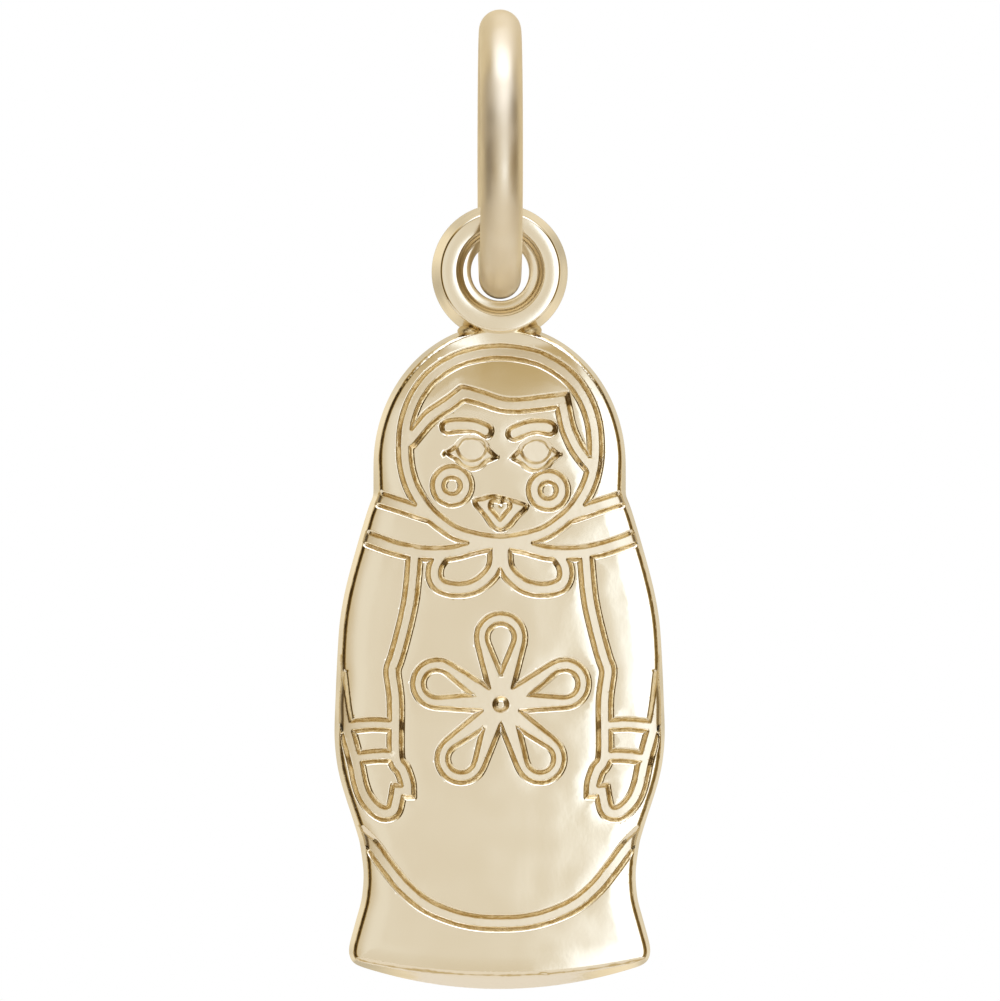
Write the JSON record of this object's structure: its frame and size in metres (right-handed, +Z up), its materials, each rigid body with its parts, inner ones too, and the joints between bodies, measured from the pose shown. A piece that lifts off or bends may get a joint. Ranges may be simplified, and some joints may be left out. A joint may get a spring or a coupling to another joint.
{
  "type": "matryoshka charm",
  "caption": "Flat gold charm in the form of a matryoshka doll with sunk-line relief, hung by a soldered eyelet on a round-wire jump ring.",
  "frame": {"origin": "hang point: the middle of the inside of the jump ring's top, where a bail, chain or clasp bears", "axes": "+Z up along the hanging charm, -Y the side that the doll faces, +X to the right as seen from the front"},
  "size_m": [0.008, 0.007, 0.0237],
  "materials": {
    "plaque_gold": "polished pale yellow gold",
    "eyelet_gold": "polished pale yellow gold",
    "solder_gold": "unpolished gold solder",
    "ring_gold": "polished pale yellow gold wire"
  },
  "bodies": {
    "ring": {"jump_ring": "ring_gold"},
    "charm": {"doll_plaque": "plaque_gold", "eyelet": "eyelet_gold", "solder_left": "solder_gold", "solder_right": "solder_gold"}
  },
  "joints": [
    {"name": "charm_swing", "type": "hinge", "parent": "ring", "child": "charm", "pos_m": [0, 0, -0.00532], "axis": [0, 1, 0], "range_deg": [-135, 135]}
  ]
}
